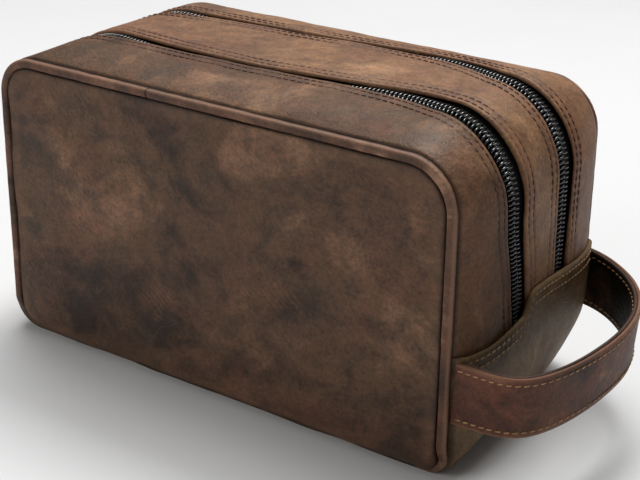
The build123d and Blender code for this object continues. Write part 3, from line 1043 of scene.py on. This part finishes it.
def stitches():
    for side_name, side in SIDES:
        middle, gap = zip_edges(side)
        outer = [arch_seam(middle + side * (gap + row)) for row in STITCH_ROWS]
        inner = [arch_seam(middle - side * (gap + row)) for row in STITCH_ROWS]
        piece = sew(f"{side_name}_band_stitches", outer, RED_THREAD)
        bend_with_wall(piece)
        piece = sew(f"{side_name}_middle_stitches", inner, RED_THREAD)
        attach(piece, "bag")

    lines = []
    depth = np.linspace(-SEAM + TAB_SEAM_INSET, SEAM - TAB_SEAM_INSET, 60)
    for right, sign in ((False, -1.0), (True, 1.0)):
        for row in STITCH_ROWS:
            x = sign * (HALF + swell(depth) + BASE_LIFT + 0.1)
            line = np.stack([x, depth, tab_top(depth, right) - row], -1)
            lines.append((line, np.tile([sign, 0, 0], (len(depth), 1))))
    piece = sew("tab_stitches", lines, TAN_THREAD)
    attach(piece, "bag")


# ---- Handle ----
LOOP_WIDTH = 29.6  # at the seams
LOOP_WAIST = 2.2  # how much narrower the strap is at the loop's far end
LOOP_LEAN = 0.07  # slope of the strap, upper edge outwards, at the loop's far end
LOOP_Z = (cad("handle_strap_outer", 0, "z") + cad("handle_strap_outer", 1, "z")) / 2
LOOP_LIFT = 1.7  # of the strap's middle above LOOP_Z
LOOP_RISE = 3.6  # from the front seam to the middle of the loop, and again to the rear seam
LOOP_REACH = 47.0
LOOP_INSET = 2.6  # of the strap's ends, in from the seams
LOOP_POWER = 0.86  # how square the loop's far end is, and how much squarer towards the front
LOOP_POWER_CHANGE = 0.43
LAYER = 1.7
LAYER_GAP = 0.05
STRAP_RIM = 0.5  # bevel of the strap's cut edges
STRAP_SEAM = 3.0  # stitch row, in from the strap's edge
STRAP_FLAT = 1.6  # the even columns start here, in from the edge


def loop_frame(count=160):
    """The strap's middle line from the front seam to the rear seam, and its outward directions."""
    angle = np.linspace(0, math.pi, 8 * count)
    along = -np.cos(angle)
    line = np.stack(
        [
            HALF + LOOP_REACH * np.sin(angle) ** (LOOP_POWER + LOOP_POWER_CHANGE * along),
            (SEAM - LOOP_INSET) * along,
            LOOP_Z + LOOP_LIFT + LOOP_RISE * along,
        ],
        -1,
    )
    lengths = path_lengths(line)
    line = along_line(np.linspace(0, lengths[-1], count), lengths, line)
    forward = unit(np.gradient(line, axis=0))
    up = np.tile([0.0, 0.0, 1.0], (count, 1))
    up = unit(up - forward * (up * forward).sum(1)[:, None])
    far = np.sin(np.linspace(0, math.pi, count))[:, None]
    up = unit(up + LOOP_LEAN * far * np.cross(forward, up))
    return line, np.cross(forward, up), up * (1 - LOOP_WAIST / LOOP_WIDTH * far)


def bend_with_handle(piece):
    """Bakes a strap piece's placement into its mesh."""
    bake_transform(piece)


def strap(name, near, far, material, nodes):
    """One layer of the strap, between two distances outside its middle line."""
    line, out, up = loop_frame()
    half = LOOP_WIDTH / 2
    inner = list(np.linspace(-half + STRAP_FLAT, half - STRAP_FLAT, 13))
    across = [-half, STRAP_RIM - half] + inner + [half - STRAP_RIM, half]
    cut = np.array([STRAP_RIM] + [0.0] * (len(across) - 2) + [STRAP_RIM])
    outer_face = np.stack([across, far - cut], -1)
    inner_face = np.stack([across, near + cut], -1)[::-1]
    section = np.concatenate([outer_face, inner_face])
    points = line[:, None] + section[None, :, 1:] * out[:, None] + section[None, :, :1] * up[:, None]
    edge = half - np.abs(section[:, 0])
    # Painted shade along the stitch rows; the cut edges are paler raw leather, with rub beside them.
    shade = 0.5 * np.exp(-(((edge - STRAP_SEAM) / 0.7) ** 2))
    rub_and_highlight = np.where(edge < 0.6, 0.9, 0.3 * np.exp(-((edge / 1.5) ** 2)))
    size = points.shape[:2]
    marks = {"shade": np.broadcast_to(shade, size), "rub_and_highlight": np.broadcast_to(rub_and_highlight, size)}
    piece = mesh_piece(name, points, tube_faces(*size), material, marks)
    face_outwards(piece)
    relief(piece, 24.0, 0.35, 31.0)
    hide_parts(*nodes)
    bend_with_handle(piece)


def handle():
    nodes = ("handle_strap_outer", "front_handle_end")
    strap("strap_outer_layer", 0.0, LAYER, STRAP_LEATHER, nodes)
    nodes = ("handle_strap_inner", "rear_handle_end")
    strap("strap_inner_layer", -LAYER - LAYER_GAP, -LAYER_GAP, INNER_LEATHER, nodes)
    line, out, up = loop_frame()
    shown = slice(2, -2)
    lines = []
    for sign in (-1, 1):
        for face, away in ((LAYER, 1), (-LAYER - LAYER_GAP, -1)):
            seam = line + out * (face + away * 0.05) + up * sign * (LOOP_WIDTH / 2 - STRAP_SEAM)
            lines.append((seam[shown], (away * out)[shown]))
    piece = sew("strap_stitches", lines, TAN_THREAD)
    bend_with_handle(piece)


# ---- Linings and divider ----
LINING_LIFT = -9.5
LINING_HUG = -6.0  # where the lining is sewn to the zip tape
LINING_SEWN = 4.0  # past the edge of the zip's gap
LINING_SPAN = (2.1, 56.0)
LINING_SPLIT = 25.0  # the lining's floor is seamed at this depth
LINING_THICKNESS = 0.5
WALL_SHARES = (0.75, 0.5, 0.25, 0.02)
DIVIDER_LIFT = -7.0
DIVIDER_HALF = 0.9


def ring(depth, lift):
    """Points right round the bag: over the arch, then back under the base.

    depth is an array for the arch's rows and a number for the base.
    """
    arch_depth, base_depth = depth
    arch_lift, base_lift = lift
    rows = path_rows(BASE_STEPS)
    over = on_arch(arch_depth[:, None], arch_lift, TAB_TOP)[:, 0]
    top = np.full((1, 1), TAB_TOP)
    under = on_base(np.full((1, 1), base_depth), base_lift, top, top, rows)[:, 0]
    return np.concatenate([over, under[::-1][1:-1]])


def disc(outline, depth, shares):
    """Rings that close an outline at its depth, each a share of its size about the bag's middle."""
    middle = np.array([0, depth, TAB_TOP])
    return [middle + share * (outline - middle) for share in shares]


def lining(side_name, side, half_name, half_sign):
    """Half of a compartment's lining, from the zip to a wall and from there over the whole wall."""
    middle, gap = zip_edges(side)
    start = middle + half_sign * (gap + LINING_SEWN)
    wall = side * (LINING_SPAN[1] if half_sign == side else LINING_SPAN[0])
    rings = []
    for share in np.linspace(0, 1, 9):
        lift = LINING_HUG + (LINING_LIFT - LINING_HUG) * float(ease(share / 0.4))
        arch_depth = start + share * (wall - start)
        base_depth = side * LINING_SPLIT + share * (wall - side * LINING_SPLIT)
        rings.append(ring((arch_depth, base_depth), (lift, LINING_LIFT + BASE_LIFT)))
    rings += disc(rings[-1], wall, (0.97, *WALL_SHARES))
    points = np.stack(rings)
    count, columns = points.shape[:2]
    faces = grid_faces(count, columns, wrap_columns=True)
    faces.append(tuple(range((count - 1) * columns, count * columns)))
    piece = mesh_piece(f"{side_name}_lining_{half_name}", points, faces, LINING_CLOTH)
    relief(piece, 20.0, 0.9, 41.0 + side)
    solid = piece.modifiers.new("thickness", "SOLIDIFY")
    solid.thickness = LINING_THICKNESS * MM
    solid.offset = 0
    return piece


def linings():
    for side_name, side in SIDES:
        inner = lining(side_name, side, "inner", -side)
        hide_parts(f"{side_name}_lining_tub")
        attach(inner, "bag")
        outer = lining(side_name, side, "outer", side)
        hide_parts(f"{side_name}_lining_hood")
        bend_with_wall(outer)


def divider():
    """The sheet between the two compartments."""
    rings = []
    for depth in (-DIVIDER_HALF, DIVIDER_HALF):
        outline = ring((np.full(len(ARCH), depth), depth), (DIVIDER_LIFT, DIVIDER_LIFT + BASE_LIFT))
        closed = disc(outline, depth, (1.0, *WALL_SHARES))
        rings += closed[::-1] if depth < 0 else closed
    points = np.stack(rings)
    piece = mesh_piece("divider_cloth", points, tube_faces(*points.shape[:2]), LINING_CLOTH)
    face_outwards(piece)
    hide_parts("divider")
    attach(piece, "bag")


# ---- Left as CAD, with better materials ----
def finish_cad(names, material):
    for name in names:
        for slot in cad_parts[name].material_slots:
            slot.material = material


# ---- Stage ----
def stage():
    floor_material, tree, shader = nodes_of("studio_floor")
    tint = noise_node(tree, tree.nodes.new("ShaderNodeTexCoord").outputs["Object"], 3.0)
    tree.links.new(ramp_node(tree, tint, (0.3, grey(0.76)), (0.7, grey(0.8))), shader.inputs["Base Color"])
    shader.inputs["Roughness"].default_value = 0.7
    bpy.ops.mesh.primitive_plane_add(size=60, location=(0, 0, 0))
    floor = bpy.context.object
    floor.name = "studio_floor"
    floor.data.materials.append(floor_material)

    world = bpy.data.worlds.new("studio")
    bpy.context.scene.world = world
    world.use_nodes = True
    sky = world.node_tree.nodes["Background"].inputs
    sky["Color"].default_value = (*WHITE, 1.0)
    sky["Strength"].default_value = 0.13

    for name, place, kind, size, power in (
        ("overhead_sky", (-0.3, 0.5, 1.3), "SUN", 0.9, 2.3),
        ("key_softbox", (0.0, 0.45, 1.1), "AREA", 0.32, 5.0),
        ("front_softbox", (-0.9, -1.3, 0.8), "AREA", 1.1, 8.0),
    ):
        lamp = bpy.data.lights.new(name, kind)
        if kind == "SUN":
            lamp.angle = size
        else:
            lamp.shape = "SQUARE"
            lamp.size = size
        lamp.energy = power
        rig = bpy.data.objects.new(name, lamp)
        bpy.context.scene.collection.objects.link(rig)
        rig.location = place
        aim = Vector((0, 0, 0.08)) - Vector(place)
        rig.rotation_euler = aim.to_track_quat("-Z", "Y").to_euler()


# ---- Camera, at the photograph's viewing angle ----
def camera():
    azimuth, elevation, distance = math.radians(34.9), math.radians(22.8), 0.735
    level = Vector((math.sin(azimuth), -math.cos(azimuth), 0))
    back = level * math.cos(elevation) + Vector((0, 0, math.sin(elevation)))
    target = Vector((0.008, 0, 0.076))
    data = bpy.data.cameras.new("camera")
    data.sensor_width = 36.0
    data.lens = 84.7
    data.shift_x = 0.0219
    data.shift_y = -0.0484
    data.clip_start = 0.01
    rig = bpy.data.objects.new("camera", data)
    bpy.context.scene.collection.objects.link(rig)
    turn = (-back).to_track_quat("-Z", "Y").to_matrix().to_4x4()
    roll = Matrix.Rotation(math.radians(0.5), 4, "Z")
    rig.matrix_world = Matrix.Translation(target + back * distance) @ turn @ roll
    bpy.context.scene.camera = rig


camera()
stage()
for side_name, side in SIDES:
    panel(side_name, side)
    piping(side_name, side)
bands()
base()
zips()
stitches()
handle()
linings()
divider()
finish_cad(["front_slider", "rear_slider", "front_pull", "rear_pull"], BRASS)
finish_cad(["base_board"], LINING_CLOTH)

bpy.context.scene.view_settings.view_transform = "Standard"
bpy.context.view_layer.update()
